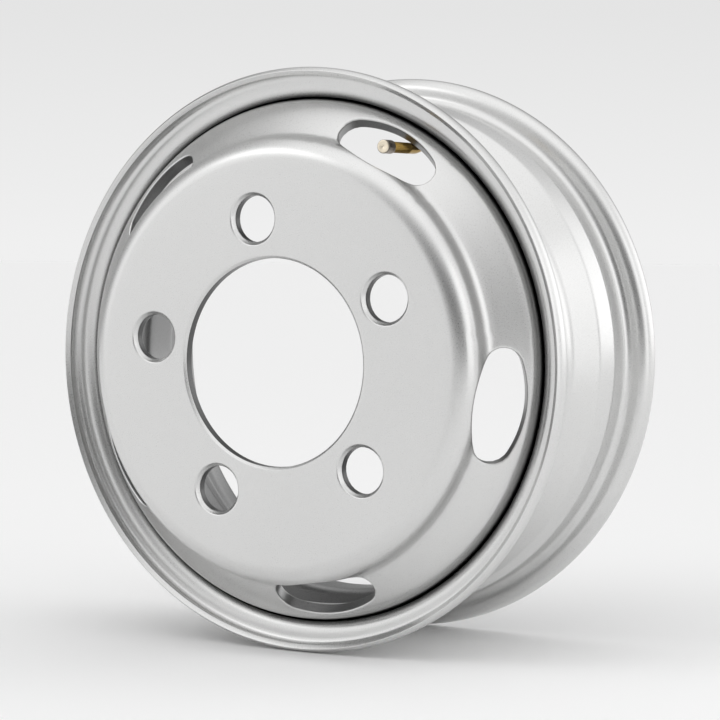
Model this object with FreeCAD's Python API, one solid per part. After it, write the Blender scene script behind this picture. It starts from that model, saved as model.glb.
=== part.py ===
import FreeCAD, Part
import math
import os

# Pressed steel disc wheel for a light truck: a rolled drop-centre rim, a pressed disc
# with five stud holes and five hand holes, one weld, and a bent clamp-in brass valve.
# The wheel's axis is Y, its outer side faces -Y, and +Z is up. The origin is the centre
# of the hub face, the flat back of the disc. Lengths are in millimetres, angles in degrees.

# Rim: 15 inches across the bead seats and 5 inches between the flange walls
seat_d = 380.2
rim_width = 127.0
rim_t = 4.0
seat_angle = 5.0
flange_height = 17.5
curl_r = 9.5
lip_angle = 40.0
lip_length = 1.0
flange_foot_r = 6.5
hump_from_wall = 22.5
hump_height = 0.9
hump_r = 8.0
hump_rise = 25.0
hump_foot_r = 6.0
well_depth = 17.3
well_front_angle = 45.0
back_shelf_angle = 13.0
back_shelf_from_wall = 38.0
back_shelf_r = 8.0
well_back_angle = 38.0
well_floor_r = 12.0

# Disc: how far its back face lies outboard of the rim's middle, and its section
inset = 103.0
disc_t = 9.0
bore_d = 146.0
bore_chamfer = 1.75
bore_back_chamfer = 1.0
face_inside_seat = 48.6
shoulder_r = 16.0
wall_draft = 3.0
wall_depth = 21.0
flare_r = 12.0
cone_angle = 50.0
bend_r = 12.0
skirt_reach = 15.5
skirt_gap = 0.05

# Stud holes with ball seats, and the oval hand holes between them
stud_count = 5
stud_circle_d = 203.2
stud_hole_d = 32.5
stud_seat_d = 37.3
stud_seat_ball_r = 22.0
first_stud_angle = 98.8
hand_hole_inside_seat = 24.3
hand_hole_length = 79.4
hand_hole_width = 38.2
hand_hole_end_r = 13.5
hand_hole_edge_r = 1.5

# Weld between the disc's skirt and the rim
weld_leg = 6.0
weld_toe_rise = 18.0

# Valve: its hole in the front side of the well, and the pieces along its bent stem
valve_up_side = 12.1
valve_hole_d = 9.7
valve_flat_d = 18.0
valve_flat_depth = 0.3
stem_d = 7.7
stem_bore_d = 2.8
stem_base_d = 16.0
stem_base_t = 1.6
stem_straight = 6.5
stem_bend_r = 20.0
seal_t = 2.0
seal_sleeve_gap = 0.05
seal_stem_gap = 0.02
washer_t = 1.4
washer_d = 16.0
washer_gap = 0.15
nut_t = 4.4
nut_across_flats = 13.0
nut_chamfer_angle = 30.0
thread_gap = 0.05
cap_d = 9.5
cap_length = 9.7
cap_top_t = 1.2
cap_proud = 5.7
cap_edge_r = 0.5
cap_dimple_d = 2.2
cap_dimple_depth = 0.5
cap_seal_d = 7.0
cap_seal_t = 0.9
core_d = 5.2
core_gap = 0.05
core_head_length = 6.0
core_taper_length = 3.0
core_tail_d = 3.6
core_tail_length = 10.0
core_recess = 0.6
core_pin_d = 1.2
core_pin_proud = 0.4

origin = FreeCAD.Vector(0, 0, 0)
axle = FreeCAD.Vector(0, 1, 0)
same_point = 1e-6
on_surface = 1e-3


def tan(angle):
    return math.tan(math.radians(angle))


def sin(angle):
    return math.sin(math.radians(angle))


def cos(angle):
    return math.cos(math.radians(angle))


# Every section is drawn in the half plane z = 0: x is the radius r, y runs along the axle.
# A corner is (y, r, fillet radius).
def point(y, r):
    return FreeCAD.Vector(r, y, 0)


def meet(p, p_angle, q, q_angle):
    """Where two lines meet, each given by a point (y, r) and its slope from the axle."""
    across = (q[0] - p[0]) * sin(q_angle) - (q[1] - p[1]) * cos(q_angle)
    run = across / sin(q_angle - p_angle)
    return p[0] + run * cos(p_angle), p[1] + run * sin(p_angle)


def rounded_face(corners):
    """The face inside a closed chain of corners, with each corner's fillet."""
    starts, ends, middles = [], [], []
    for i, (y, r, radius) in enumerate(corners):
        here = point(y, r)
        back = (point(*corners[i - 1][:2]) - here).normalize()
        on = (point(*corners[(i + 1) % len(corners)][:2]) - here).normalize()
        half = back.getAngle(on) / 2
        if radius:
            reach = radius / math.tan(half)
            inward = (back + on).normalize()
            starts.append(here + back * reach)
            middles.append(here + inward * (radius / math.sin(half) - radius))
            ends.append(here + on * reach)
        else:
            starts.append(here)
            middles.append(None)
            ends.append(here)
    edges = []
    for i, middle in enumerate(middles):
        if middle is not None:
            edges.append(Part.Arc(starts[i], middle, ends[i]).toShape())
        following = starts[(i + 1) % len(starts)]
        if ends[i].distanceToPoint(following) > same_point:
            edges.append(Part.LineSegment(ends[i], following).toShape())
    return Part.Face(Part.Wire(edges))


def parallel(chain, thickness):
    """The other side of a sheet: the chain moved sideways, towards the axle where y grows."""
    points = [point(y, r) for y, r, _ in chain]
    runs = [(b - a).normalize() for a, b in zip(points, points[1:])]
    sides = [FreeCAD.Vector(-run.y, run.x, 0) for run in runs]
    moved = []
    for i, (y, r, radius) in enumerate(chain):
        before, after = sides[max(i - 1, 0)], sides[min(i, len(sides) - 1)]
        shift = (before + after) * (thickness / (1 + before.dot(after)))
        turn = runs[max(i - 1, 0)].cross(runs[min(i, len(runs) - 1)]).z
        moved_radius = radius - math.copysign(thickness, turn) if radius else 0
        moved.append((y + shift.y, r + shift.x, moved_radius))
    return moved


def turned(corners):
    """A solid of revolution about the axle."""
    return rounded_face(corners).revolve(origin, axle, 360)


def at_angle(shape, angle):
    """The shape turned about the axle, so that what lay along +X points to that angle."""
    return shape.rotated(origin, -axle, angle)


# Tyre side of the rim. Both halves share their flange, bead seat and hump.
seat_r = seat_d / 2
rim_middle = inset
curl_centre_r = seat_r + flange_height - curl_r


def hump_tangent(side, well_slope):
    """A point of the hump's crown and the slope of the line that leaves it towards the well.
    A negative slope gives the line on the flange's side."""
    crown_y = rim_middle + side * (rim_width / 2 - hump_from_wall)
    crown_r = seat_r + hump_height - hump_r
    place = (crown_y - side * hump_r * sin(well_slope), crown_r + hump_r * cos(well_slope))
    return place, side * well_slope


def half_rim(side, well_slope):
    """Tyre-side corners from the lip to the hump, where side is -1 in front and 1 behind."""
    wall = rim_middle + side * rim_width / 2
    curl_y = wall + side * curl_r
    curl_end = (curl_y + side * curl_r * sin(lip_angle), curl_centre_r + curl_r * cos(lip_angle))
    lip_end = (curl_end[0] + side * lip_length * cos(lip_angle), curl_end[1] - lip_length * sin(lip_angle))
    curl_corner = meet(curl_end, -side * lip_angle, (wall, 0), 90)
    rise = hump_tangent(side, -hump_rise)
    foot = meet((wall, seat_r), side * seat_angle, *rise)
    crown = meet(*rise, *hump_tangent(side, well_slope))
    return [
        (*lip_end, 0),
        (*curl_corner, curl_r),
        (wall, seat_r, flange_foot_r),
        (*foot, hump_foot_r),
        (*crown, hump_r),
    ]


# The well falls straight from the front hump, and over a shelf from the back one.
floor_line = ((rim_middle, seat_r - well_depth), 0)
back_shelf_line = hump_tangent(1, back_shelf_angle)
back_shelf_end = (rim_middle + rim_width / 2 - back_shelf_from_wall, 0)
back_shelf_corner = meet(*back_shelf_line, back_shelf_end, 90)
front_floor_corner = meet(*hump_tangent(-1, well_front_angle), *floor_line)
back_floor_corner = meet(back_shelf_corner, well_back_angle, *floor_line)
tyre_side = (
    half_rim(-1, well_front_angle)
    + [
        (*front_floor_corner, well_floor_r),
        (*back_floor_corner, well_floor_r),
        (*back_shelf_corner, back_shelf_r),
    ]
    + half_rim(1, back_shelf_angle)[::-1]
)


# The valve stands square to the front side of the well. Its places are distances along
# that line from the inner face of the rim, and its own shapes are built along +Z.
valve_angle = first_stud_angle - 180 / stud_count
valve_run = FreeCAD.Vector(-cos(well_front_angle), -sin(well_front_angle), 0)
valve_on_tyre_side = point(
    front_floor_corner[0] - valve_up_side * cos(well_front_angle),
    front_floor_corner[1] + valve_up_side * sin(well_front_angle),
)
valve_foot = valve_on_tyre_side + valve_run * rim_t
inner_flat = -valve_flat_depth
tyre_flat = -rim_t + valve_flat_depth


def along_valve(shape, distance):
    """A shape built along +Z from the origin, moved onto the valve's line at that distance."""
    turn = FreeCAD.Rotation(FreeCAD.Vector(0, 0, 1), valve_run)
    placed = shape.copy()
    placed.Placement = FreeCAD.Placement(valve_foot + valve_run * distance, turn)
    return at_angle(placed, valve_angle)


def make_rim():
    rim = turned(tyre_side + parallel(tyre_side, rim_t)[::-1])
    hole = Part.makeCylinder(valve_hole_d / 2, 4 * rim_t)
    flat = Part.makeCylinder(valve_flat_d / 2, rim_t)
    rim = rim.cut(along_valve(hole, -3 * rim_t))
    rim = rim.cut(along_valve(flat, inner_flat))
    return rim.cut(along_valve(flat, tyre_flat - rim_t))


# Front side of the disc, from the bore out to the skirt under the front bead seat
face_r = seat_r - face_inside_seat
hand_hole_circle_r = seat_r - hand_hole_inside_seat
front_wall_y = rim_middle - rim_width / 2
skirt_line = (front_wall_y, seat_r - (rim_t + skirt_gap) / cos(seat_angle))
shoulder_corner = (-disc_t, face_r + shoulder_r * tan(45 - wall_draft / 2))
flare_corner = (
    wall_depth - disc_t,
    shoulder_corner[1] + wall_depth * tan(wall_draft),
)
bend_corner = meet(flare_corner, cone_angle, skirt_line, -seat_angle)
skirt_end = (
    front_wall_y + skirt_reach,
    skirt_line[1] - skirt_reach * tan(seat_angle),
)
disc_front = [
    (-disc_t, bore_d / 2, 0),
    (*shoulder_corner, shoulder_r),
    (*flare_corner, flare_r),
    (*bend_corner, bend_r),
    (*skirt_end, 0),
]
hand_hole_y = flare_corner[0] + (hand_hole_circle_r - flare_corner[1]) / tan(cone_angle)


def disc_loop():
    """The disc's closed section, with both edges of the bore chamfered."""
    back = parallel(disc_front, disc_t)
    bore = [
        (0, bore_d / 2 + bore_back_chamfer, 0),
        (-bore_back_chamfer, bore_d / 2, 0),
        (-disc_t + bore_chamfer, bore_d / 2, 0),
        (-disc_t, bore_d / 2 + bore_chamfer, 0),
    ]
    return bore + disc_front[1:] + back[:0:-1]


def stud_hole(angle):
    """The tool for one stud hole: a plain hole with a ball seat on the front face."""
    circle_r = stud_circle_d / 2
    hole = Part.makeCylinder(stud_hole_d / 2, 3 * disc_t, FreeCAD.Vector(circle_r, -2 * disc_t, 0), axle)
    ball_height = math.sqrt(stud_seat_ball_r**2 - (stud_seat_d / 2) ** 2)
    seat = Part.makeSphere(stud_seat_ball_r, FreeCAD.Vector(circle_r, -disc_t - ball_height, 0))
    return at_angle(hole.fuse(seat), angle)


def hand_hole_tool(depth):
    """An oval punch square to the disc's cone that goes in by that depth, drawn about +X."""
    a, b, end = hand_hole_length / 2, hand_hole_width / 2, hand_hole_end_r
    side = ((a - end) ** 2 + b**2 - end**2) / (2 * (b - end))
    touch = math.atan2(a - end, side - b)
    far = (side * math.sin(touch), side * math.cos(touch) - (side - b))
    outward = FreeCAD.Vector(cos(cone_angle), -sin(cone_angle), 0)
    up_cone = FreeCAD.Vector(sin(cone_angle), cos(cone_angle), 0)
    around = FreeCAD.Vector(0, 0, 1)
    start = point(hand_hole_y, hand_hole_circle_r) - outward * depth

    def at(u, v):
        return start + around * u + up_cone * v

    arcs = [
        Part.Arc(at(-far[0], far[1]), at(0, b), at(far[0], far[1])),
        Part.Arc(at(far[0], far[1]), at(a, 0), at(far[0], -far[1])),
        Part.Arc(at(far[0], -far[1]), at(0, -b), at(-far[0], -far[1])),
        Part.Arc(at(-far[0], -far[1]), at(-a, 0), at(-far[0], far[1])),
    ]
    oval = Part.Face(Part.Wire([arc.toShape() for arc in arcs]))
    return oval.extrude(outward * (depth + 3 * disc_t))


def mouth_edges(disc, zone):
    """The edges round a hand hole on the front of the disc, where the punch went in."""
    return [
        edge
        for edge in disc.Edges
        if not isinstance(edge.Curve, Part.Line)
        and zone.isInside(edge.valueAt((edge.FirstParameter + edge.LastParameter) / 2), on_surface, True)
    ]


def make_disc():
    """The disc is turned with its seam between a stud hole and a hand hole, then pierced."""
    pitch = 360 / stud_count
    stud_angles = [first_stud_angle + i * pitch for i in range(stud_count)]
    hand_angles = [valve_angle + i * pitch for i in range(stud_count)]
    disc = at_angle(turned(disc_loop()), first_stud_angle + pitch / 4)
    for angle in stud_angles:
        disc = disc.cut(stud_hole(angle))
    for angle in hand_angles:
        disc = disc.cut(at_angle(hand_hole_tool(3 * disc_t), angle))
    mouths = []
    for angle in hand_angles:
        mouths += mouth_edges(disc, at_angle(hand_hole_tool(hand_hole_edge_r / 2), angle))
    return disc.makeFillet(hand_hole_edge_r, mouths)


def make_weld(rim, disc):
    """The weld bead in the corner between the skirt's end and the rim."""
    end_run = (-sin(seat_angle), -cos(seat_angle))
    low = (skirt_end[0] + end_run[0] * weld_leg, skirt_end[1] + end_run[1] * weld_leg)
    toe = (skirt_end[0] + weld_leg, skirt_end[1] + weld_leg * tan(weld_toe_rise))
    in_sheet = rim_t / 2
    corners = [
        (*skirt_end, 0),
        (*low, 0),
        (*toe, 0),
        (toe[0], toe[1] + in_sheet, 0),
        (skirt_end[0], skirt_end[1] + in_sheet, 0),
    ]
    return turned(corners).cut(rim).cut(disc)


# Valve pieces. The stem leaves the rim square to the well, then bends to run along the axle.
stem_r = stem_d / 2
bend_angle = 90 - well_front_angle
bend_start = valve_foot + valve_run * stem_straight
run_r = bend_start.x - stem_bend_r * (1 - cos(bend_angle))
bend_end = point(bend_start.y - stem_bend_r * sin(bend_angle), run_r)
bend_centre = point(bend_end.y, run_r + stem_bend_r)
cap_front_y = hand_hole_y - cap_proud
stem_end_y = cap_front_y + cap_top_t + cap_seal_t
seal_foot = tyre_flat - seal_t
base_foot = seal_foot - stem_base_t


def bent_rod(diameter, start, end_y):
    """A round rod from that distance along the valve's line, round the bend, to that y."""
    r = diameter / 2
    first = valve_foot + valve_run * start
    rod = Part.makeCylinder(r, stem_straight - start, first, valve_run)
    section = Part.Face(Part.Wire(Part.makeCircle(r, bend_end, axle)))
    bend = section.revolve(bend_centre, FreeCAD.Vector(0, 0, -1), bend_angle)
    run = Part.makeCylinder(r, bend_end.y - end_y, point(end_y, run_r), axle)
    return at_angle(rod.fuse(bend).fuse(run), valve_angle)


def on_run(corners):
    """A turned piece on the stem's straight run: corners are (y, radius about the run, fillet)."""
    solid = turned(corners).translated(FreeCAD.Vector(run_r, 0, 0))
    return at_angle(solid, valve_angle)


def core_chamber(gap):
    """Corners of the core's outside, or of its chamber when a gap is given."""
    top = stem_end_y + (0 if gap else core_recess)
    head_end = stem_end_y + core_recess + core_head_length
    taper_end = head_end + core_taper_length
    tail_end = taper_end + core_tail_length
    return [
        (top, 0, 0),
        (top, core_d / 2 + gap, 0),
        (head_end, core_d / 2 + gap, 0),
        (taper_end, core_tail_d / 2 + gap, 0),
        (tail_end + gap, core_tail_d / 2 + gap, 0),
        (tail_end + gap, 0, 0),
    ]


def make_stem():
    stem = bent_rod(stem_d, base_foot, stem_end_y)
    base = Part.makeCylinder(stem_base_d / 2, stem_base_t)
    stem = stem.fuse(along_valve(base, base_foot)).removeSplitter()
    return stem.cut(bent_rod(stem_bore_d, base_foot - stem_base_t, stem_end_y)).cut(
        on_run(core_chamber(core_gap))
    )


def make_core():
    body = on_run(core_chamber(0))
    tip = stem_end_y + core_recess - core_pin_proud
    pin_end = tip + core_head_length
    pin = on_run(
        [
            (tip, 0, 0),
            (tip, core_pin_d / 2, 0),
            (pin_end, core_pin_d / 2, 0),
            (pin_end, 0, 0),
        ]
    )
    return body.fuse(pin).removeSplitter()


def make_cap():
    """A flat-topped screw cap with a small centre dimple."""
    bore = stem_r + thread_gap
    inside = cap_front_y + cap_top_t
    mouth = cap_front_y + cap_length
    return on_run(
        [
            (cap_front_y + cap_dimple_depth, 0, 0),
            (cap_front_y, cap_dimple_d / 2, 0),
            (cap_front_y, cap_d / 2, cap_edge_r),
            (mouth, cap_d / 2, cap_edge_r / 2),
            (mouth, bore, 0),
            (inside, bore, 0),
            (inside, 0, 0),
        ]
    )


def make_cap_seal():
    inside = cap_front_y + cap_top_t
    return on_run(
        [
            (inside, 0, 0),
            (inside, cap_seal_d / 2, 0),
            (inside + cap_seal_t, cap_seal_d / 2, 0),
            (inside + cap_seal_t, 0, 0),
        ]
    )


def ring(outer_d, inner_d, thickness):
    outer = Part.makeCylinder(outer_d / 2, thickness)
    return outer.cut(Part.makeCylinder(inner_d / 2, thickness))


def make_seal():
    """Rubber seal: a flange on the tyre side and a sleeve that fills the rim's hole."""
    inner_d = stem_d + 2 * seal_stem_gap
    sleeve_d = valve_hole_d - 2 * seal_sleeve_gap
    flange = along_valve(ring(stem_base_d, inner_d, seal_t), seal_foot)
    sleeve = along_valve(ring(sleeve_d, inner_d, inner_flat - tyre_flat), tyre_flat)
    return flange.fuse(sleeve).removeSplitter()


def make_washer():
    return along_valve(ring(washer_d, stem_d + 2 * washer_gap, washer_t), inner_flat)


def make_nut():
    """Hexagon nut with its corners turned off on the outer face."""
    flat_r = nut_across_flats / 2
    corner_r = flat_r / cos(30)
    points = [FreeCAD.Vector(corner_r * cos(60 * i), corner_r * sin(60 * i), 0) for i in range(7)]
    prism = Part.Face(Part.makePolygon(points)).extrude(FreeCAD.Vector(0, 0, nut_t))
    round_off = Part.makeCone(flat_r + nut_t / tan(nut_chamfer_angle), flat_r, nut_t)
    nut = prism.common(round_off).cut(Part.makeCylinder(stem_r + thread_gap, nut_t))
    return along_valve(nut, inner_flat + washer_t)


def main():
    os.makedirs("parts", exist_ok=True)
    rim = make_rim()
    disc = make_disc()
    pieces = {
        "rim": rim,
        "disc": disc,
        "weld_bead": make_weld(rim, disc),
        "valve_stem": make_stem(),
        "valve_core": make_core(),
        "valve_cap": make_cap(),
        "valve_cap_seal": make_cap_seal(),
        "valve_seal": make_seal(),
        "valve_washer": make_washer(),
        "valve_nut": make_nut(),
    }
    for name, shape in pieces.items():
        shape.exportStep(f"parts/{name}.step")
        print(name, "valid", shape.isValid(), "solids", len(shape.Solids), "cm3", round(shape.Volume / 1000, 2))


main()
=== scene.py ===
import math

import bmesh
import bpy
import numpy as np
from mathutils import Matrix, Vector


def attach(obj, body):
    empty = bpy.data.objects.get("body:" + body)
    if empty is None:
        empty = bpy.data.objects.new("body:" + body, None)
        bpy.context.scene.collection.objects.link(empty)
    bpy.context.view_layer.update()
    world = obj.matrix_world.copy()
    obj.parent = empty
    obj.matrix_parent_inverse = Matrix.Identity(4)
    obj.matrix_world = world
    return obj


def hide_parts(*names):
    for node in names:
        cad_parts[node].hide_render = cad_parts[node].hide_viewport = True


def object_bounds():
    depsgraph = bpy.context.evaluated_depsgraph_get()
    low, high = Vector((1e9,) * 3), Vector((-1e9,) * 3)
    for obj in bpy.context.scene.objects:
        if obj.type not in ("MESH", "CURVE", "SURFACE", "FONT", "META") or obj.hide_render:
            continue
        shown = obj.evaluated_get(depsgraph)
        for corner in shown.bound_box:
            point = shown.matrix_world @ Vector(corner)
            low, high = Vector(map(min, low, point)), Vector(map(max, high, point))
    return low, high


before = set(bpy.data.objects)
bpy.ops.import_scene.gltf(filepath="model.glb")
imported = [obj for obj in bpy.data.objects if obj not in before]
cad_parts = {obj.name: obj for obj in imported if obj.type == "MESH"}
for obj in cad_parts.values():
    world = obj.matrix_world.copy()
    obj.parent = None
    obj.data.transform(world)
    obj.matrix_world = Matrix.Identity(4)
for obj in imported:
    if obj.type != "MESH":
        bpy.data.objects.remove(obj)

cad_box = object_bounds()

# Sizes are in millimetres and angles in degrees. The axle is Y, the wheel's outer side faces
# -Y, and the origin is the centre of the hub face.
MM = 0.001

# Rim
seat_r = 190.1
rim_middle = 103.0
rim_width = 127.0
rim_t = 4.0
seat_angle = 5.0
flange_height = 17.5
curl_r = 9.5
lip_angle = 40.0
lip_length = 1.0
lip_edge_r = 0.35
flange_foot_r = 6.5
hump_from_wall = 22.5
hump_height = 0.9
hump_r = 8.0
hump_rise = 25.0
hump_foot_r = 6.0
well_depth = 17.3
well_front_angle = 45.0
back_shelf_angle = 13.0
back_shelf_from_wall = 38.0
back_shelf_r = 8.0
well_back_angle = 38.0
well_floor_r = 12.0

# Disc
disc_t = 9.0
bore_r = 73.0
bore_chamfer = 1.75
bore_back_chamfer = 1.0
bore_edge_r = 0.3
face_r = seat_r - 48.6
shoulder_r = 16.0
wall_draft = 3.0
wall_depth = 21.0
flare_r = 12.0
cone_angle = 50.0
bend_r = 12.0
skirt_reach = 15.5
skirt_gap = 0.05
skirt_edge_r = 0.8

# Holes of the disc
hole_count = 5
pitch = 360 / hole_count
first_stud_angle = 98.8
valve_angle = first_stud_angle - pitch / 2
stud_circle_r = 101.6
stud_hole_r = 16.25
stud_seat_r = 18.65
stud_seat_ball_r = 22.0
stud_edge_r = 0.35
hand_hole_circle_r = seat_r - 24.3
hand_hole_half_length = 39.7
hand_hole_half_width = 19.1
hand_hole_end_r = 13.5
hand_hole_edge_r = 1.5
hand_hole_back_edge_r = 0.5

# Weld
weld_leg = 6.0
weld_toe_rise = 18.0
weld_crown = 0.5
weld_crown_r = 4.0
weld_edge_r = 0.4
weld_sunk = 0.8
weld_overlap = 0.5
weld_ripples = 400
weld_ripple_depth = 0.18
steps_per_ripple = 4

# Valve, whose stem leaves the front side of the well squarely and bends to run along the axle
valve_up_side = 12.1
stem_r = 3.85
stem_base_r = 8.0
stem_base_t = 1.6
stem_base_edge = 0.3
stem_base_foot_edge = 0.2
seal_t = 2.0
valve_flat_depth = 0.3
stem_straight = 6.5
stem_bend_r = 20.0
thread_pitch = 0.95
thread_depth = 0.42
thread_end_y = 47.0
thread_run_in = 2.0
thread_run_out = 1.0
stem_end_chamfer = 0.4
cap_r = 4.75
cap_length = 9.7
cap_proud = 5.7
cap_top_t = 1.2
cap_seal_t = 0.9
cap_bore_r = 3.9
cap_edge_r = 0.5
cap_foot_edge = 0.15
cap_dimple_r = 1.1
cap_dimple_depth = 0.5
cap_dimple_lip = 0.3
cap_dimple_lip_depth = 0.12
cap_ridges = 30
cap_ridge_depth = 0.16
cap_ridges_from = (1.6, 2.0)
cap_ridges_to = (1.2, 0.9)

# Places where shade painted into the paint begins and ends, as the two sizes between which it
# does. A name that ends in _r is a radius from the axle and one that ends in _y a place along it.
joint_in_r = (183.8, 185.0)
joint_out_r = (187.7, 186.9)
joint_in_y = (38.5, 41.2)
joint_out_y = (46.5, 44.5)
beside_joint_r = (181.5, 187.2)
barrel_y = (44.0, 60.0)
plate_r = (128.0, 122.0)
cone_r = (140.0, 143.0)

# The same for the way a surface looks: 1 is straight along the direction, 0 is square to it and
# -1 is against it.
barrel_look = (0.0, -0.3)
plate_wall_look = (0.45, 0.25)
cone_wall_look = (0.5, 0.3)
back_look = (0.3, 0.75)
front_look = (0.7, 0.95)


def sin(angle):
    return math.sin(math.radians(angle))


def cos(angle):
    return math.cos(math.radians(angle))


def tan(angle):
    return math.tan(math.radians(angle))


# Sections are chains of corners (y, r, fillet radius) in the half plane through the axle.
def meet(p, p_angle, q, q_angle):
    """Where two lines meet, each given by a point (y, r) and its slope from the axle."""
    across = (q[0] - p[0]) * sin(q_angle) - (q[1] - p[1]) * cos(q_angle)
    run = across / sin(q_angle - p_angle)
    return p[0] + run * cos(p_angle), p[1] + run * sin(p_angle)


def parallel(chain, thickness):
    """The other side of a sheet: the chain moved sideways, towards the axle where y grows."""
    points = np.array([corner[:2] for corner in chain], float)
    runs = np.diff(points, axis=0)
    runs /= np.linalg.norm(runs, axis=1)[:, None]
    sides = np.stack([runs[:, 1], -runs[:, 0]], 1)
    moved = []
    for i, (y, r, radius) in enumerate(chain):
        a, b = max(i - 1, 0), min(i, len(runs) - 1)
        shift = (sides[a] + sides[b]) * thickness / (1 + sides[a] @ sides[b])
        turn = runs[a][0] * runs[b][1] - runs[a][1] * runs[b][0]
        moved.append((y + shift[0], r + shift[1], radius + math.copysign(thickness, turn) if radius else 0))
    return moved


def rounded(chain, arc_step):
    """Points (y, r) round a closed chain with every fillet turned in steps of arc_step."""
    points = []
    for i, (y, r, radius) in enumerate(chain):
        here = np.array([y, r], float)
        if not radius:
            points.append(here)
            continue
        back = np.array(chain[i - 1][:2]) - here
        on = np.array(chain[(i + 1) % len(chain)][:2]) - here
        back, on = back / np.linalg.norm(back), on / np.linalg.norm(on)
        half = math.acos(max(-1, min(1, back @ on))) / 2
        centre = here + (back + on) / np.linalg.norm(back + on) * (radius / math.sin(half))
        start_y, start_r = here + back * (radius / math.tan(half)) - centre
        turn = math.pi - 2 * half
        sign = math.copysign(1, -back[0] * on[1] + back[1] * on[0])
        steps = max(2, math.ceil(math.degrees(turn) / arc_step))
        for k in range(steps + 1):
            a = sign * turn * k / steps
            ca, sa = math.cos(a), math.sin(a)
            points.append(centre + (start_y * ca - start_r * sa, start_y * sa + start_r * ca))
    return np.array(points)


# Rim section
curl_centre_r = seat_r + flange_height - curl_r


def hump_tangent(side, well_slope):
    """A point of the hump's crown and the slope of the line that leaves it towards the well."""
    crown_y = rim_middle + side * (rim_width / 2 - hump_from_wall)
    crown_r = seat_r + hump_height - hump_r
    place = (crown_y - side * hump_r * sin(well_slope), crown_r + hump_r * cos(well_slope))
    return place, side * well_slope


def half_rim(side, well_slope):
    """Tyre-side corners from the lip to the hump, where side is -1 in front and 1 behind."""
    wall = rim_middle + side * rim_width / 2
    curl_y = wall + side * curl_r
    curl_end = (curl_y + side * curl_r * sin(lip_angle), curl_centre_r + curl_r * cos(lip_angle))
    lip_end = (curl_end[0] + side * lip_length * cos(lip_angle), curl_end[1] - lip_length * sin(lip_angle))
    rise = hump_tangent(side, -hump_rise)
    return [
        (*lip_end, 0),
        (*meet(curl_end, -side * lip_angle, (wall, 0), 90), curl_r),
        (wall, seat_r, flange_foot_r),
        (*meet((wall, seat_r), side * seat_angle, *rise), hump_foot_r),
        (*meet(*rise, *hump_tangent(side, well_slope)), hump_r),
    ]


floor_line = ((rim_middle, seat_r - well_depth), 0)
back_shelf_corner = meet(
    *hump_tangent(1, back_shelf_angle), (rim_middle + rim_width / 2 - back_shelf_from_wall, 0), 90
)
front_floor_corner = meet(*hump_tangent(-1, well_front_angle), *floor_line)
back_floor_corner = meet(back_shelf_corner, well_back_angle, *floor_line)
tyre_side = (
    half_rim(-1, well_front_angle)
    + [
        (*front_floor_corner, well_floor_r),
        (*back_floor_corner, well_floor_r),
        (*back_shelf_corner, back_shelf_r),
    ]
    + half_rim(1, back_shelf_angle)[::-1]
)


def rim_section():
    inner = parallel(tyre_side, rim_t)[::-1]
    loop = tyre_side + inner
    ends = {0, len(tyre_side) - 1, len(tyre_side), len(loop) - 1}
    return [(y, r, lip_edge_r if i in ends else radius) for i, (y, r, radius) in enumerate(loop)]


# Disc section
front_wall_y = rim_middle - rim_width / 2
skirt_line = (front_wall_y, seat_r - (rim_t + skirt_gap) / cos(seat_angle))
shoulder_corner = (-disc_t, face_r + shoulder_r * tan(45 - wall_draft / 2))
flare_corner = (wall_depth - disc_t, shoulder_corner[1] + wall_depth * tan(wall_draft))
bend_corner = meet(flare_corner, cone_angle, skirt_line, -seat_angle)
skirt_end = (front_wall_y + skirt_reach, skirt_line[1] - skirt_reach * tan(seat_angle))
disc_front = [
    (-disc_t, bore_r, 0),
    (*shoulder_corner, shoulder_r),
    (*flare_corner, flare_r),
    (*bend_corner, bend_r),
    (*skirt_end, 0),
]
hand_hole_y = flare_corner[0] + (hand_hole_circle_r - flare_corner[1]) / tan(cone_angle)


# Materials. Every pattern reads the piece's own object coordinates, in metres.
class Tree:
    """A small helper that adds nodes to a tree and links them by socket name or number."""

    def __init__(self, tree):
        self.tree = tree
        tree.nodes.clear()

    def add(self, kind, inputs=None, **settings):
        node = self.tree.nodes.new(kind)
        for name, value in settings.items():
            setattr(node, name, value)
        for name, value in (inputs or {}).items():
            if isinstance(value, bpy.types.NodeSocket):
                self.tree.links.new(value, node.inputs[name])
            else:
                node.inputs[name].default_value = value
        return node

    def math(self, operation, *values):
        return self.add("ShaderNodeMath", dict(enumerate(values)), operation=operation).outputs[0]

    def vector(self, operation, *values):
        return self.add("ShaderNodeVectorMath", dict(enumerate(values)), operation=operation)

    def part(self, vector, axis):
        return self.add("ShaderNodeSeparateXYZ", {"Vector": vector}).outputs[axis]


def ramp(t, factor, *stops):
    """A colour that runs through (position, grey or colour) pairs."""
    node = t.add("ShaderNodeValToRGB", {"Fac": factor})
    elements = node.color_ramp.elements
    while len(elements) < len(stops):
        elements.new(0.5)
    for element, (position, value) in zip(elements, stops):
        colour = value if isinstance(value, tuple) else (value,) * 3
        element.position = position
        element.color = (*colour, 1)
    return node.outputs["Color"]


def new_material(name):
    material = bpy.data.materials.new(name)
    material.use_nodes = True
    return material, Tree(material.node_tree)


def finished(t, **inputs):
    """Ends a material with one surface shader."""
    named = {name.replace("_", " "): value for name, value in inputs.items()}
    shader = t.add("ShaderNodeBsdfPrincipled", named)
    t.add("ShaderNodeOutputMaterial", {"Surface": shader.outputs["BSDF"]})


def fade(t, value, start, end):
    """0 before start and 1 after end, with a soft step between."""
    limits = {"Value": value, "From Min": start, "From Max": end}
    return t.add("ShaderNodeMapRange", limits, interpolation_type="SMOOTHSTEP").outputs["Result"]


def fade_between(t, length, limits):
    """The same for a length in metres, with its two limits in millimetres."""
    return fade(t, length, limits[0] * MM, limits[1] * MM)


def across_axle(t, place):
    return t.vector("MULTIPLY", place, (1, 0, 1)).outputs["Vector"]


def radius_at(t, place):
    return t.vector("LENGTH", across_axle(t, place)).outputs["Value"]


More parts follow.
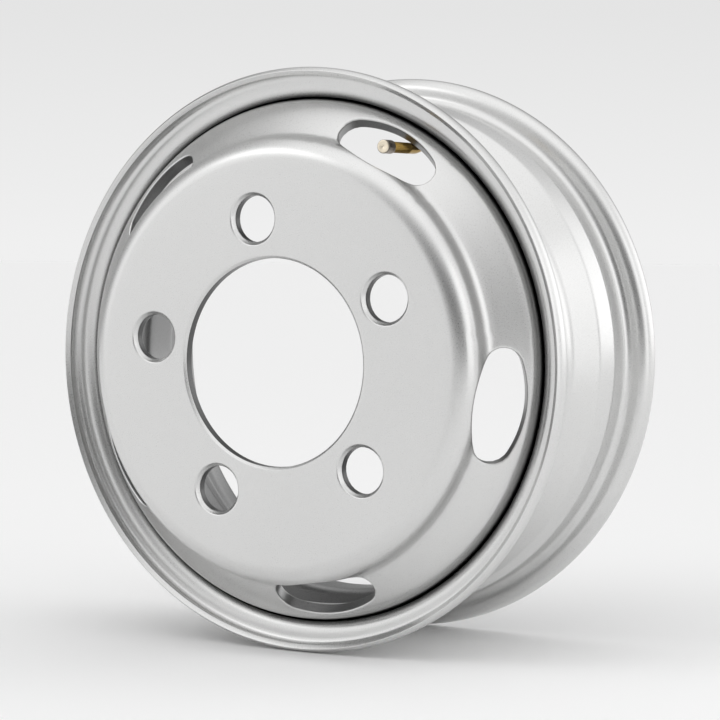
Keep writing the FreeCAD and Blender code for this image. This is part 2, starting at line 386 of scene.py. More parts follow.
def outward_at(t, place):
    return t.vector("NORMALIZE", across_axle(t, place)).outputs["Vector"]


def normal_here(t):
    return t.add("ShaderNodeTexCoord").outputs["Normal"]


def facing(t, towards):
    """1 where the surface faces that way, 0 where it is square to it and -1 where it faces away."""
    return t.vector("DOT_PRODUCT", normal_here(t), towards).outputs["Value"]


# Masks, each 1 on the part of a piece that its words describe
def in_joint(t, place):
    """The narrow joint between the disc and the rim, where shade is painted into the paint as near black.
    """
    r, y = radius_at(t, place), t.part(place, "Y")
    near = t.math("MULTIPLY", fade_between(t, r, joint_in_r), fade_between(t, r, joint_out_r))
    deep = t.math("MULTIPLY", fade_between(t, y, joint_in_y), fade_between(t, y, joint_out_y))
    return t.math("MULTIPLY", near, deep)


def beside_joint(t, place):
    """The disc's edge on its way into the joint, where painted shade darkens it step by step."""
    near = fade_between(t, radius_at(t, place), beside_joint_r)
    return t.math("MULTIPLY", near, fade_between(t, t.part(place, "Y"), joint_out_y))


def in_barrel(t, place):
    """The inside of the rim behind the disc, where shade is painted into the paint as a darker grey."""
    inward = fade(t, facing(t, outward_at(t, place)), *barrel_look)
    return t.math("MULTIPLY", inward, fade_between(t, t.part(place, "Y"), barrel_y))


def in_plate_holes(t, place):
    """Walls of the bore and of the stud holes, where dark shade is painted into the paint."""
    tilt = t.math("ABSOLUTE", facing(t, (0, 1, 0)))
    wall = fade(t, tilt, *plate_wall_look)
    return t.math("MULTIPLY", wall, fade_between(t, radius_at(t, place), plate_r))


def in_hand_holes(t, place):
    """Walls of the hand holes, which stand square to the cone and get painted shade."""
    lean, forward = (cos(cone_angle),) * 3, (0, -sin(cone_angle), 0)
    punch = t.vector("MULTIPLY_ADD", outward_at(t, place), lean, forward).outputs["Vector"]
    tilt = t.math("ABSOLUTE", facing(t, punch))
    wall = fade(t, tilt, *cone_wall_look)
    return t.math("MULTIPLY", wall, fade_between(t, radius_at(t, place), cone_r))


def on_back(t, place):
    """Faces that look towards the vehicle."""
    return fade(t, facing(t, (0, 1, 0)), *back_look)


def on_front(t, place):
    """Faces that look straight out of the wheel."""
    return fade(t, facing(t, (0, -1, 0)), *front_look)


# What the metals share, and the rubber. Scales are in cells to the metre and depths in metres.
slow_scale = 9.0
roughness_spread = 0.04
darkest_speck = 0.965
coat_roughness = 0.18
rubber_scale = 900.0
rubber_depth = 0.00006
rubber_dark, rubber_light = 0.018, 0.045
rubber_roughness = 0.62


def metal_finish(name, colour, spread, roughness, metallic, grain, grain_depth, coat=0.0, overlays=()):
    """A metal surface with slow tone variation, fine grain in colour and roughness, and a bump.
    An overlay is a mask and the colour that it brings."""
    material, t = new_material(name)
    place = t.add("ShaderNodeTexCoord").outputs["Object"]
    slow = t.add("ShaderNodeTexNoise", {"Vector": place, "Scale": slow_scale, "Detail": 3.0})
    fine = t.add("ShaderNodeTexNoise", {"Vector": place, "Scale": grain, "Detail": 2.0, "Roughness": 0.6})
    slow, fine = slow.outputs["Fac"], fine.outputs["Fac"]
    dark = tuple(c * (1 - spread) for c in colour)
    light = tuple(min(1.0, c * (1 + spread)) for c in colour)
    tone = ramp(t, slow, (0.3, dark), (0.7, light))
    for mask, brought in overlays:
        inputs = {"Factor": mask(t, place), 6: tone, 7: (*brought, 1)}
        tone = t.add("ShaderNodeMix", inputs, data_type="RGBA").outputs[2]
    speck = ramp(t, fine, (0.35, darkest_speck), (0.65, 1.0))
    inputs = {"Factor": 1.0, 6: tone, 7: speck}
    mixed = t.add("ShaderNodeMix", inputs, data_type="RGBA", blend_type="MULTIPLY").outputs[2]
    limits = {"From Min": 0.3, "From Max": 0.7}
    limits |= {"To Min": roughness - roughness_spread, "To Max": roughness + roughness_spread}
    rough = t.add("ShaderNodeMapRange", {"Value": fine, **limits}).outputs["Result"]
    bump = t.add("ShaderNodeBump", {"Height": fine, "Strength": 1.0, "Distance": grain_depth})
    finished(
        t,
        Base_Color=mixed,
        Roughness=rough,
        Metallic=metallic,
        Normal=bump.outputs["Normal"],
        Coat_Weight=coat,
        Coat_Roughness=coat_roughness,
    )
    return material


def rubber_finish(name):
    material, t = new_material(name)
    place = t.add("ShaderNodeTexCoord").outputs["Object"]
    inputs = {"Vector": place, "Scale": rubber_scale, "Detail": 4.0}
    grain = t.add("ShaderNodeTexNoise", inputs).outputs["Fac"]
    tone = ramp(t, grain, (0.3, rubber_dark), (0.8, rubber_light))
    bump = t.add("ShaderNodeBump", {"Height": grain, "Strength": 1.0, "Distance": rubber_depth})
    finished(t, Base_Color=tone, Roughness=rubber_roughness, Normal=bump.outputs["Normal"])
    return material


# Colours, and each metal's colour, spread, roughness, metallic share, grain, grain depth and coat
# Painted shade: the near-black colour put into the joint between disc and rim and beside it.
painted_joint_shade = (0.012, 0.012, 0.012)
# Painted shade: the darker grey put on the inside of the rim and the back of the disc.
painted_inner_shade = (0.29, 0.29, 0.29)
# Painted shade: the dark grey put on the walls of the bore and the stud holes.
painted_hole_wall_shade = (0.10, 0.10, 0.10)
# Painted shade: the grey put on the walls of the hand holes.
painted_hand_hole_shade = (0.34, 0.34, 0.34)
bare_face = (0.86, 0.77, 0.62)
silver = ((0.72, 0.72, 0.715), 0.012, 0.30, 0.9, 1800.0, 0.000007, 0.15)
brass = ((0.36, 0.235, 0.065), 0.08, 0.24, 1.0, 2600.0, 0.00001)
nickel = ((0.26, 0.225, 0.19), 0.06, 0.28, 1.0, 2600.0, 0.00001)

# Both silver paints carry painted shade in the joint, inside the rim, on the disc's back and on its hole
# walls.
silver_paint = metal_finish(
    "satin_silver_on_rim", *silver, overlays=[(in_joint, painted_joint_shade), (in_barrel, painted_inner_shade)]
)
disc_paint = metal_finish(
    "satin_silver_on_disc",
    *silver,
    overlays=[
        (beside_joint, painted_joint_shade),
        (in_joint, painted_joint_shade),
        (on_back, painted_inner_shade),
        (in_plate_holes, painted_hole_wall_shade),
        (in_hand_holes, painted_hand_hole_shade),
    ],
)
stem_brass = metal_finish("drawn_brass", *brass)
cap_plating = metal_finish("dull_nickel_plate", *nickel, overlays=[(on_front, bare_face)])
black_rubber = rubber_finish("moulded_black_rubber")


# Turned pieces come from one tree: it lays a grid, puts each of its points at a section
# point turned about the axle, closes the seam, and adds the ripples of a weld.
seam_distance = 1e-6


def turning_tree():
    tree = bpy.data.node_groups.new("turned_section", "GeometryNodeTree")
    face = tree.interface
    face.new_socket("Geometry", in_out="INPUT", socket_type="NodeSocketGeometry")
    steps = face.new_socket("Steps round", in_out="INPUT", socket_type="NodeSocketInt")
    ripples = face.new_socket("Ripples round", in_out="INPUT", socket_type="NodeSocketInt")
    ripple_depth = face.new_socket("Ripple depth", in_out="INPUT", socket_type="NodeSocketFloat")
    finish = face.new_socket("Finish", in_out="INPUT", socket_type="NodeSocketMaterial")
    face.new_socket("Geometry", in_out="OUTPUT", socket_type="NodeSocketGeometry")
    t = Tree(tree)
    given = t.add("NodeGroupInput").outputs
    size = t.add("GeometryNodeAttributeDomainSize", {"Geometry": given["Geometry"]})
    rows = t.math("ADD", given["Steps round"], 1.0)
    inputs = {"Vertices X": size.outputs["Point Count"], "Vertices Y": rows}
    grid = t.add("GeometryNodeMeshGrid", inputs).outputs["Mesh"]
    index = t.add("GeometryNodeInputIndex").outputs["Index"]
    column = t.math("FLOOR", t.math("DIVIDE", index, rows))
    share = t.math("DIVIDE", t.math("MODULO", index, rows), given["Steps round"])
    angle = t.math("MULTIPLY", share, -2 * math.pi)
    here = t.add("GeometryNodeInputPosition").outputs["Position"]
    inputs = {"Geometry": given["Geometry"], "Value": here, "Index": column}
    sample = t.add("GeometryNodeSampleIndex", inputs, data_type="FLOAT_VECTOR")
    inputs = {"Vector": sample.outputs["Value"], "Angle": angle}
    turned = t.add("ShaderNodeVectorRotate", inputs, rotation_type="Y_AXIS").outputs["Vector"]
    placed = t.add("GeometryNodeSetPosition", {"Geometry": grid, "Position": turned})
    inputs = {"Geometry": placed.outputs["Geometry"], "Distance": seam_distance}
    merged = t.add("GeometryNodeMergeByDistance", inputs).outputs["Geometry"]
    phase = t.math("ARCTAN2", t.part(here, "Z"), t.part(here, "X"))
    wave = t.math("SINE", t.math("MULTIPLY", phase, given["Ripples round"]))
    height = t.math("MULTIPLY", wave, given["Ripple depth"])
    normal = t.add("GeometryNodeInputNormal").outputs["Normal"]
    inputs = {0: normal, "Scale": height}
    offset = t.add("ShaderNodeVectorMath", inputs, operation="SCALE").outputs["Vector"]
    rippled = t.add("GeometryNodeSetPosition", {"Geometry": merged, "Offset": offset})
    inputs = {"Geometry": rippled.outputs["Geometry"], "Shade Smooth": True}
    smooth = t.add("GeometryNodeSetShadeSmooth", inputs)
    real = t.add("GeometryNodeRealizeInstances", {"Geometry": smooth.outputs["Geometry"]})
    inputs = {"Geometry": real.outputs["Geometry"], "Material": given["Finish"]}
    coated = t.add("GeometryNodeSetMaterial", inputs)
    t.add("NodeGroupOutput", {"Geometry": coated.outputs["Geometry"]})
    names = [steps.identifier, ripples.identifier, ripple_depth.identifier, finish.identifier]
    return tree, names


def new_object(name, mesh):
    piece = bpy.data.objects.new(name, mesh)
    bpy.context.scene.collection.objects.link(piece)
    return piece


def plain_mesh(piece):
    """The evaluated object as a plain mesh, with the modifiers gone."""
    seen = bpy.context.evaluated_depsgraph_get()
    mesh = bpy.data.meshes.new_from_object(piece.evaluated_get(seen))
    piece.modifiers.clear()
    piece.data = mesh
    return mesh


turning, (steps_input, ripples_input, ripple_depth_input, finish_input) = turning_tree()


def turned_piece(name, points, material, steps, ripples=0, ripple_depth=0.0):
    """A solid of revolution about the axle from a closed loop of points (y, r)."""
    section = bpy.data.meshes.new(name)
    section.from_pydata([(r * MM, y * MM, 0) for y, r in points], [], [])
    piece = new_object(name, section)
    lathe = piece.modifiers.new("lathe", "NODES")
    lathe.node_group = turning
    lathe[steps_input] = steps
    lathe[ripples_input] = ripples
    lathe[ripple_depth_input] = ripple_depth * MM
    lathe[finish_input] = material
    plain_mesh(piece)
    return piece


def closed_loop(points):
    return np.vstack([points, points[:1]])


def stands_for(piece, node):
    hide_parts(node)
    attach(piece, "root")


# Rim
rim_line = rounded(rim_section(), arc_step=9)
rolled_rim = turned_piece("rolled_rim", closed_loop(rim_line), silver_paint, steps=360)
stands_for(rolled_rim, "rim")


# Weld in the corner between the skirt's end and the rim. Its two hidden corners lie inside the
# sheet of the skirt and the rim, so that no slit shows between them.
def weld_section():
    down = (skirt_end[0] - weld_leg * sin(seat_angle), skirt_end[1] - weld_leg * cos(seat_angle))
    toe = (skirt_end[0] + weld_leg, skirt_end[1] + weld_leg * tan(weld_toe_rise))
    crown = ((down[0] + toe[0]) / 2 + weld_crown, (down[1] + toe[1]) / 2 - weld_crown)
    outer = [(toe[0], toe[1] + weld_sunk), (skirt_end[0] - weld_overlap, skirt_end[1] + weld_sunk)]
    bead = [(*down, weld_edge_r), (*crown, weld_crown_r), (*toe, weld_edge_r)]
    return bead + [(*corner, 0) for corner in outer]


weld_line = rounded(weld_section(), arc_step=25)
weld = turned_piece(
    "weld_seam",
    closed_loop(weld_line),
    silver_paint,
    steps=weld_ripples * steps_per_ripple,
    ripples=weld_ripples,
    ripple_depth=weld_ripple_depth,
)
stands_for(weld, "weld_bead")


# The disc is laid in grids of points: rings round the axle, and round each hole a patch
# whose rings run from the patch's border to the hole's mouth and on through to the back.
columns_per_patch = 36
patch_half_angle = pitch / 4
patch_span = np.radians(np.linspace(-patch_half_angle, patch_half_angle, columns_per_patch + 1))
stud_patch_r = (77.0, 135.0)
stud_patch_steps = 8
hand_patch_front_y = (-4.3, 35.5)
hand_patch_back_y = (44.0, 2.0)
hand_patch_steps = 32
turn_per_step = 5.0
length_per_step = 7.0
join_distance = 0.004
face_margin = 0.001


class Shell:
    """Grids of points that are joined where their edges meet."""

    def __init__(self):
        self.points = []
        self.faces = []
        self.count = 0

    def grid(self, rows):
        rows = np.asarray(rows, float)
        index = self.count + np.arange(rows.shape[0] * rows.shape[1]).reshape(rows.shape[:2])
        corners = (index[:-1, :-1], index[:-1, 1:], index[1:, 1:], index[1:, :-1])
        self.faces.append(np.stack([c.ravel() for c in corners], 1))
        self.points.append(rows.reshape(-1, 3))
        self.count += index.size

    def piece(self, name, material):
        mesh = bpy.data.meshes.new(name)
        mesh.from_pydata((np.vstack(self.points) * MM).tolist(), [], np.vstack(self.faces).tolist())
        work = bmesh.new()
        work.from_mesh(mesh)
        bmesh.ops.remove_doubles(work, verts=work.verts, dist=join_distance * MM)
        bmesh.ops.recalc_face_normals(work, faces=work.faces)
        for face in work.faces:
            face.smooth = True
        work.to_mesh(mesh)
        work.free()
        mesh.materials.append(material)
        return new_object(name, mesh)


class Outline:
    """A closed section that can be read at any distance along it."""

    def __init__(self, points):
        self.points = closed_loop(points)
        runs = np.diff(self.points, axis=0)
        lengths = np.linalg.norm(runs, axis=1)
        self.s = np.concatenate([[0], np.cumsum(lengths)])
        heading = np.unwrap(np.arctan2(runs[:, 1], runs[:, 0]))
        turned = np.abs(np.diff(heading, append=heading[-1]))
        effort = np.degrees(turned) / turn_per_step + lengths / length_per_step
        self.work = np.concatenate([[0], np.cumsum(effort)])

    def at(self, s):
        return np.interp(s, self.s, self.points[:, 0]), np.interp(s, self.s, self.points[:, 1])

    def steps(self, start, end, count=None):
        """Distances from start to end, closer together where the section turns."""
        low, high = np.interp([start, end], self.s, self.work)
        count = count or max(1, math.ceil(high - low))
        return np.interp(np.linspace(low, high, count + 1), self.work, self.s)

    def around(self, s, angle):
        """Points at those distances along the section, turned to those angles."""
        y, r = self.at(s)
        return np.stack([r * np.cos(angle), y + 0 * angle, r * np.sin(angle)], -1)


def disc_section():
    back = parallel(disc_front, disc_t)
    (end_y, end_r, _), (back_end_y, back_end_r, _) = disc_front[-1], back[-1]
    bore = [
        (0, bore_r + bore_back_chamfer, bore_edge_r),
        (-bore_back_chamfer, bore_r, bore_edge_r),
        (-disc_t + bore_chamfer, bore_r, bore_edge_r),
        (-disc_t, bore_r + bore_chamfer, bore_edge_r),
    ]
    ends = [(end_y, end_r, skirt_edge_r), (back_end_y, back_end_r, skirt_edge_r)]
    return rounded(bore + disc_front[1:-1] + ends + back[-2:0:-1], arc_step=1.0)


# The section starts at the bore's back edge, runs over the front to the skirt's end and comes
# home along the back.
section = Outline(disc_section())
skirt_turn = int(np.argmax(section.points[:, 0]))
past_bore = int(np.argmax(section.points[:, 0] < -disc_t + face_margin))
front_line = section.points[past_bore : skirt_turn + 1]
front_line_s = section.s[past_bore : skirt_turn + 1]
back_line = section.points[skirt_turn:][::-1]
back_line_s = section.s[skirt_turn:][::-1]


# Distances along the section, in front and at the back, at a radius r or at a place y
def front_at_r(r):
    return np.interp(r, front_line[:, 1], front_line_s)


def back_at_r(r):
    return np.interp(r, back_line[:, 1], back_line_s)


def front_at_y(y):
    return np.interp(y, front_line[:, 0], front_line_s)


def back_at_y(y):
    return np.interp(y, back_line[:, 0], back_line_s)


def patch_border(s_steps, centre):
    """The border of a patch as (distance along the section, angle), round it once."""
    angles = centre + patch_span
    low, high = s_steps[0], s_steps[-1]
    sides = [
        [(low, a) for a in angles[:-1]],
        [(s, angles[-1]) for s in s_steps[:-1]],
        [(high, a) for a in angles[:0:-1]],
        [(s, angles[0]) for s in s_steps[:0:-1]],
    ]
    return closed_loop(np.array([p for side in sides for p in side]))


def blend(a, b, share):
    return a * (1 - share) + b * share


# How far the rings of a patch stand on the way from its border to the hole, and the rows down
# a hand hole's wall on the way from front to back
ring_shares = (0.0, 0.35, 0.62, 0.82, 0.93, 1.0)
wall_shares = (0.06, 0.5, 0.94, 1.0)
mouth_rows = 5
back_mouth_rows = 3
ball_seat_rows = 6
oval_steps = 60
halvings = 40


def edge_round(before, corner, after, steps):
    """Rows that lead round an edge, from one side of its corner to the other."""
    shares = np.linspace(0, 1, steps + 1)
    return [(1 - q) ** 2 * before + 2 * q * (1 - q) * corner + q**2 * after for q in shares]


def stud_rows():
    """(radius, y) down a stud hole, from its front edge over the ball seat to the back."""
    ball_y = -disc_t - math.sqrt(stud_seat_ball_r**2 - stud_seat_r**2)

    def on_ball(r):
        return r, ball_y + math.sqrt(stud_seat_ball_r**2 - r * r)

    e, seat_r, hole_r = stud_edge_r, stud_seat_r, stud_hole_r
    seat_y = on_ball(hole_r)[1]
    rows = [(seat_r + 3 * e, -disc_t), (seat_r + e, -disc_t), (seat_r + 0.2 * e, -disc_t + 0.2 * e)]
    rows += [on_ball(r) for r in np.linspace(seat_r - e, hole_r + e, ball_seat_rows)]
    rows += [(hole_r + 0.15 * e, seat_y + 0.15 * e), (hole_r, seat_y + e), (hole_r, seat_y + 3 * e)]
    rows += [(hole_r, -3 * e), (hole_r, -e), (hole_r + 0.2 * e, -0.2 * e)]
    rows += [(hole_r + e, 0), (hole_r + 3 * e, 0)]
    return rows


def stud_patch(shell, centre, front_s, back_s):
    border = patch_border(front_s, centre)
    back_border = patch_border(back_s[::-1], centre)
    front = section.around(border[:, 0], border[:, 1])
    back = section.around(back_border[:, 0], back_border[:, 1])
    middle = stud_circle_r * np.array([math.cos(centre), math.sin(centre)])
    away = np.stack([front[:, 0] - middle[0], front[:, 2] - middle[1]], 1)
    away /= np.linalg.norm(away, axis=1)[:, None]

    def ring(r, y):
        x, z = (middle + r * away).T
        return np.stack([x, np.full(len(x), y), z], 1)

    through = [ring(r, y) for r, y in stud_rows()]
    rows = [blend(front, through[0], share) for share in ring_shares]
    rows += through[1:-1]
    rows += [blend(back, through[-1], share) for share in ring_shares[::-1]]
    shell.grid(rows)


def hand_hole_oval():
    """The oval's points (u round the wheel, v up the cone) by their angle in its box."""
    a, b, end = hand_hole_half_length, hand_hole_half_width, hand_hole_end_r
    side = ((a - end) ** 2 + b**2 - end**2) / (2 * (b - end))
    touch = math.atan2(a - end, side - b)
    on_side = np.linspace(0, touch, oval_steps)
    on_end = np.linspace(touch, math.pi / 2, oval_steps)[1:]
    quarter = [(side * math.sin(t), side * math.cos(t) - (side - b)) for t in on_side]
    quarter += [(a - end + end * math.sin(t), end * math.cos(t)) for t in on_end]
    quarter = np.array(quarter)[::-1]
    half = np.vstack([quarter, (quarter * [-1, 1])[::-1][1:]])
    oval = np.vstack([half, (half * [1, -1])[::-1][1:-1]])
    angle = np.arctan2(oval[:, 1] / b, oval[:, 0] / a) % (2 * math.pi)
    order = np.argsort(angle)
    return angle[order], oval[order]


oval_angle, oval_points = hand_hole_oval()


def crossing(start, run, low, high, line):
    """How far along each punch line it meets the surface turned from the line (y, r)."""
    low, high = np.full(len(start), float(low)), np.full(len(start), float(high))
    for _ in range(halvings):
        middle = (low + high) / 2
        p = start + run * middle[:, None]
        outside = np.hypot(p[:, 0], p[:, 2]) > np.interp(p[:, 1], line[:, 0], line[:, 1])
        low, high = np.where(outside, low, middle), np.where(outside, middle, high)
    return (low + high) / 2


def mouth_ring(mouth, at_y, border, width):
    """The ring on the sheet's surface at that distance outside a hole's edge."""
    s = at_y(mouth[:, 1])
    angle = np.arctan2(mouth[:, 2], mouth[:, 0])
    angle = border[:, 1] + (angle - border[:, 1] + math.pi) % (2 * math.pi) - math.pi
    mean_r = np.hypot(mouth[:, 0], mouth[:, 2]).mean()
    flat = np.stack([s, angle * mean_r], 1)
    along = np.roll(flat[:-1], -1, axis=0) - np.roll(flat[:-1], 1, axis=0)
    side = np.stack([-along[:, 1], along[:, 0]], 1) / np.linalg.norm(along, axis=1)[:, None]
    outward = np.sign(((flat[:-1] - flat[:-1].mean(0)) * side).sum(1))[:, None]
    moved = closed_loop(flat[:-1] + side * outward * width)
    return np.stack([moved[:, 0], moved[:, 1] / mean_r], 1)


# Each punch line meets the sheet's front between the first two distances from the middle of the
# hole, and the sheet's back between the third one and the front.
punch_front = (-4.0, 25.0)
punch_back = -30.0


def hand_patch(shell, centre, front_s, back_s):
    border = patch_border(front_s, centre)
    back_border = patch_border(back_s[::-1], centre)
    across = (border[:, 1] - centre) / math.radians(patch_half_angle)
    up = 2 * (border[:, 0] - front_s[0]) / (front_s[-1] - front_s[0]) - 1
    toward = np.arctan2(up, across) % (2 * math.pi)
    u = np.interp(toward, oval_angle, oval_points[:, 0], period=2 * math.pi)
    v = np.interp(toward, oval_angle, oval_points[:, 1], period=2 * math.pi)
    radial = np.array([math.cos(centre), 0, math.sin(centre)])
    round_wheel = np.array([-math.sin(centre), 0, math.cos(centre)])
    axial = np.array([0, 1, 0])
    outward = radial * cos(cone_angle) - axial * sin(cone_angle)
    up_cone = radial * sin(cone_angle) + axial * cos(cone_angle)
    middle = radial * hand_hole_circle_r + axial * hand_hole_y
    start = middle + u[:, None] * round_wheel + v[:, None] * up_cone
    front_reach = crossing(start, outward, *punch_front, front_line)
    back_reach = crossing(start, outward, punch_back, front_reach.min(), back_line)

    def punch(reach):
        return start + outward * reach[:, None]

    def on_sheet(ring):
        return section.around(ring[:, 0], ring[:, 1])

    front_edge, back_edge = punch(front_reach), punch(back_reach)
    front_ring = mouth_ring(front_edge, front_at_y, border, hand_hole_edge_r)
    back_ring = mouth_ring(back_edge, back_at_y, back_border, hand_hole_back_edge_r)
    wall_top = punch(front_reach - hand_hole_edge_r)
    wall_foot = punch(back_reach + hand_hole_back_edge_r)
    rows = [on_sheet(blend(border, front_ring, share)) for share in ring_shares]
    rows += edge_round(rows[-1], front_edge, wall_top, mouth_rows)[1:]
    rows += [blend(wall_top, wall_foot, share) for share in wall_shares]
    rows += edge_round(wall_foot, back_edge, on_sheet(back_ring), back_mouth_rows)[1:-1]
    rows += [on_sheet(blend(back_border, back_ring, share)) for share in ring_shares[::-1]]
    shell.grid(rows)


def pressed_disc():
    inner_r, outer_r = stud_patch_r
    face_front = section.steps(front_at_r(inner_r), front_at_r(outer_r), stud_patch_steps)
    face_back = section.steps(back_at_r(outer_r), back_at_r(inner_r), stud_patch_steps)
    band_front = section.steps(*front_at_y(hand_patch_front_y), hand_patch_steps)
    band_back = section.steps(*back_at_y(hand_patch_back_y), hand_patch_steps)
    shell = Shell()
    turns = np.linspace(0, 360, columns_per_patch * 2 * hole_count + 1)
    everywhere = np.radians(turns + first_stud_angle - patch_half_angle)

    def rings(s_steps, angles):
        shell.grid([section.around(s, angles) for s in s_steps])

    rings(section.steps(0, face_front[0]), everywhere)
    rings(section.steps(face_front[-1], band_front[0]), everywhere)
    rings(section.steps(band_front[-1], band_back[0]), everywhere)
    rings(section.steps(band_back[-1], face_back[0]), everywhere)
    rings(section.steps(face_back[-1], section.s[-1]), everywhere)
    for i in range(hole_count):
        stud = math.radians(first_stud_angle + i * pitch)
        hand = math.radians(valve_angle + i * pitch)
        stud_patch(shell, stud, face_front, face_back)
        rings(face_front, hand + patch_span)
        rings(face_back, hand + patch_span)
        hand_patch(shell, hand, band_front, band_back)
        rings(band_front, stud + patch_span)
        rings(band_back, stud + patch_span)
    stands_for(shell.piece("pressed_disc", disc_paint), "disc")


pressed_disc()


# Valve. Its pieces are rows of rings round a path in the half plane at the valve's angle.
bare_stem_rings = 16
rings_per_thread = 6
stem_columns = 40
columns_per_ridge = 6
bend_angle = 90 - well_front_angle
bend_length = math.radians(bend_angle) * stem_bend_r
up_well_side = np.array([-cos(well_front_angle), sin(well_front_angle)])
valve_down = np.array([-sin(well_front_angle), -cos(well_front_angle)])
valve_outer = np.array(front_floor_corner) + valve_up_side * up_well_side
valve_foot = valve_outer + rim_t * valve_down
bend_start = valve_foot + stem_straight * valve_down
run_r = bend_start[1] - stem_bend_r * (1 - cos(bend_angle))
bend_end_y = bend_start[0] - stem_bend_r * sin(bend_angle)
cap_front_y = hand_hole_y - cap_proud
stem_end_y = cap_front_y + cap_top_t + cap_seal_t
base_foot = -rim_t + valve_flat_depth - seal_t - stem_base_t


def stem_path(s):
    """Place and heading (y, r) on the stem, s along it from the rim's inner face."""
    if s < stem_straight:
        return valve_foot + s * valve_down, valve_down
    turn = min((s - stem_straight) / bend_length, 1) * bend_angle
    heading = np.array([-sin(well_front_angle + turn), -cos(well_front_angle + turn)])
    place = bend_start + arc_run(turn)
    return place + max(0, s - stem_straight - bend_length) * heading, heading


def arc_run(turn):
    """How far the bend has led from its start after that much of its angle."""
    a, b = math.radians(well_front_angle), math.radians(well_front_angle + turn)
    return stem_bend_r * np.array([math.cos(b) - math.cos(a), math.sin(a) - math.sin(b)])


def ringed(shell, rings, around):
    """Rings given as (place, heading, radius for each angle), turned to the valve's angle."""
    c, k = cos(valve_angle), sin(valve_angle)
    angle = np.linspace(0, 2 * math.pi, around + 1)
    rows = []
    for (y, r), (along_y, along_r), radius in rings:
        side_y, side_r = -along_r, along_y
        size = radius(angle)
        reach, aside = size * np.cos(angle), size * np.sin(angle)
        ring_y, ring_r = y + reach * side_y, r + reach * side_r
        rows.append(np.stack([ring_r * c - aside * k, ring_y, ring_r * k + aside * c], 1))
    shell.grid(rows)


def plain(size):
    return lambda angle: size + 0 * angle


def valve_stem():
    run_start = stem_straight + bend_length
    end = run_start + bend_end_y - stem_end_y
    thread_start = run_start + bend_end_y - thread_end_y
    base_top = base_foot + stem_base_t
    base = [
        (base_foot, 0),
        (base_foot, stem_base_r - stem_base_edge),
        (base_foot + stem_base_edge, stem_base_r),
        (base_top - stem_base_foot_edge, stem_base_r),
        (base_top, stem_base_r - stem_base_foot_edge),
        (base_top, stem_r),
        (stem_straight, stem_r),
    ]

    def thread(s):
        grow = max(0, min(1, (s - thread_start) / thread_run_in, (end - s) / thread_run_out))
        depth, phase = thread_depth * grow, 2 * math.pi * s / thread_pitch
        return lambda angle: stem_r - depth * (0.5 + 0.5 * np.cos(phase - angle))

    bare = np.linspace(stem_straight, thread_start, bare_stem_rings)[1:]
    threaded = np.arange(thread_start, end, thread_pitch / rings_per_thread)[1:]
    rings = [(*stem_path(s), plain(r)) for s, r in base]
    rings += [(*stem_path(s), plain(stem_r)) for s in bare]
    rings += [(*stem_path(s), thread(s)) for s in threaded]
    rings += [(*stem_path(end), plain(r)) for r in (stem_r - stem_end_chamfer, 0)]
    shell = Shell()
    ringed(shell, rings, stem_columns)
    stands_for(shell.piece("threaded_stem", stem_brass), "valve_stem")


def valve_cap():
    """Flat-topped cap with a centre dimple and fine ridges down its side."""

    def ridged(share):
        depth = cap_ridge_depth * share
        return lambda angle: cap_r - depth * (0.5 + 0.5 * np.cos(cap_ridges * angle))

    e = cap_edge_r
    outline = [
        (cap_dimple_depth, plain(0)),
        (cap_dimple_lip_depth, plain(cap_dimple_r - cap_dimple_lip)),
        (0, plain(cap_dimple_r)),
        (0, plain(cap_r - 2 * e)),
        (0, plain(cap_r - e)),
        (0.3 * e, plain(cap_r - 0.3 * e)),
        (e, plain(cap_r)),
        (cap_ridges_from[0], ridged(0)),
        (cap_ridges_from[1], ridged(1)),
        (cap_length - cap_ridges_to[0], ridged(1)),
        (cap_length - cap_ridges_to[1], ridged(0)),
        (cap_length - cap_foot_edge, plain(cap_r)),
        (cap_length, plain(cap_r - cap_foot_edge)),
        (cap_length, plain(cap_bore_r)),
        (cap_top_t, plain(cap_bore_r)),
        (cap_top_t, plain(0)),
    ]
    shell = Shell()
    rings = [((cap_front_y + y, run_r), (1, 0), size) for y, size in outline]
    ringed(shell, rings, cap_ridges * columns_per_ridge)
    stands_for(shell.piece("ridged_cap", cap_plating), "valve_cap")


valve_stem()
valve_cap()


# Floor, light and camera
floor_half_size = 30.0
floor_grey = 0.96
floor_roughness = 0.9
backdrop_height = 0.1
backdrop_greys = ((0.0, 0.87), (0.95, 0.78))
room_brightness = 1.0
camera_azimuth = 30.639
camera_elevation = 2.78
camera_place = (900.37, -1408.31, 82.87)
camera_lens = 119.577
sensor_width = 36.0


def floor():
    size, low = floor_half_size, cad_box[0][2]
    corners = [(-size, -size, low), (size, -size, low), (size, size, low), (-size, size, low)]
    mesh = bpy.data.meshes.new("studio_floor")
    mesh.from_pydata(corners, [], [(0, 1, 2, 3)])
    plane = new_object("studio_floor", mesh)
    material, t = new_material("studio_paper")
    finished(t, Base_Color=(floor_grey,) * 3 + (1,), Roughness=floor_roughness)
    mesh.materials.append(material)


def direction(azimuth, elevation):
    """Azimuth 0 is in front of the wheel's outer side and 90 is at its right, seen from there."""
    return Vector((sin(azimuth) * cos(elevation), -cos(azimuth) * cos(elevation), sin(elevation)))


def soft_light(name, azimuth, elevation, distance, width, height, radiance):
    """A rectangular lamp that faces the wheel, with its surface brightness given."""
    lamp = bpy.data.lights.new(name, "AREA")
    lamp.shape = "RECTANGLE"
    lamp.size, lamp.size_y = width, height
    lamp.energy = radiance * math.pi * width * height
    holder = bpy.data.objects.new(name, lamp)
    away = direction(azimuth, elevation)
    holder.location = away * distance
    holder.rotation_euler = (-away).to_track_quat("-Z", "Y").to_euler()
    holder.visible_camera = False
    bpy.context.scene.collection.objects.link(holder)


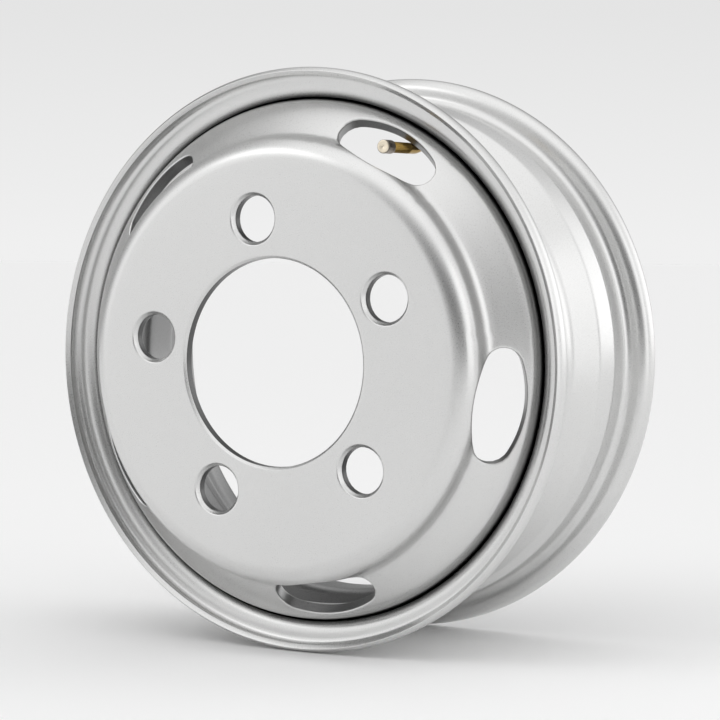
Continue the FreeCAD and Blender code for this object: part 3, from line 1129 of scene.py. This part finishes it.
def studio_world(brightness, areas):
    """An even room, with wide soft areas that are brighter or darker than the rest."""
    world = bpy.data.worlds.new("studio")
    bpy.context.scene.world = world
    world.use_nodes = True
    t = Tree(world.node_tree)
    toward = t.add("ShaderNodeTexCoord").outputs["Generated"]
    level = brightness
    for azimuth, elevation, reach, change in areas:
        near = t.vector("DOT_PRODUCT", toward, direction(azimuth, elevation)).outputs["Value"]
        limits = {"Value": near, "From Min": cos(reach), "From Max": 1.0, "To Max": change}
        share = t.add("ShaderNodeMapRange", limits, interpolation_type="SMOOTHSTEP")
        level = t.math("ADD", level, share.outputs["Result"])
    around = t.add("ShaderNodeBackground", {"Color": (1, 1, 1, 1), "Strength": level})
    limits = {"Value": t.part(toward, "Z"), "From Max": backdrop_height}
    height = t.add("ShaderNodeMapRange", limits).outputs["Result"]
    seen = t.add("ShaderNodeBackground", {"Color": ramp(t, height, *backdrop_greys)})
    camera_ray = t.add("ShaderNodeLightPath").outputs["Is Camera Ray"]
    sides = {0: camera_ray, 1: around.outputs[0], 2: seen.outputs[0]}
    mixed = t.add("ShaderNodeMixShader", sides)
    t.add("ShaderNodeOutputWorld", {"Surface": mixed.outputs[0]})


def camera():
    back = direction(camera_azimuth, camera_elevation)
    lens = bpy.data.cameras.new("camera")
    lens.lens, lens.sensor_width = camera_lens, sensor_width
    holder = bpy.data.objects.new("camera", lens)
    holder.location = Vector(camera_place) * MM
    holder.rotation_euler = (-back).to_track_quat("-Z", "Y").to_euler()
    bpy.context.scene.collection.objects.link(holder)
    bpy.context.scene.camera = holder


# Areas of the room: azimuth, elevation, half the angle across, and the change in brightness
room_areas = [
    (-100, 22, 46, -0.62),
    (-150, 6, 46, -0.62),
    (24, -4, 61, -0.95),
    (-56, 20, 38, 0.20),
    (20, 68, 50, 0.25),
    (138, 0, 50, 0.60),
    (98, 4, 15, -0.45),
    (180, 34, 34, -0.34),
]

floor()
studio_world(room_brightness, room_areas)
soft_light("key_softbox", -42, 40, distance=2.4, width=1.1, height=0.9, radiance=0.78)
soft_light("right_softbox", 75, 10, distance=2.4, width=1.35, height=2.6, radiance=0.55)
camera()
bpy.context.scene.view_settings.view_transform = "Standard"


# Pieces that keep their own shape
def repaint(node, material):
    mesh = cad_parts[node].data
    mesh.materials.clear()
    mesh.materials.append(material)


repaint("valve_core", stem_brass)
repaint("valve_nut", cap_plating)
repaint("valve_washer", cap_plating)
repaint("valve_seal", black_rubber)
repaint("valve_cap_seal", black_rubber)
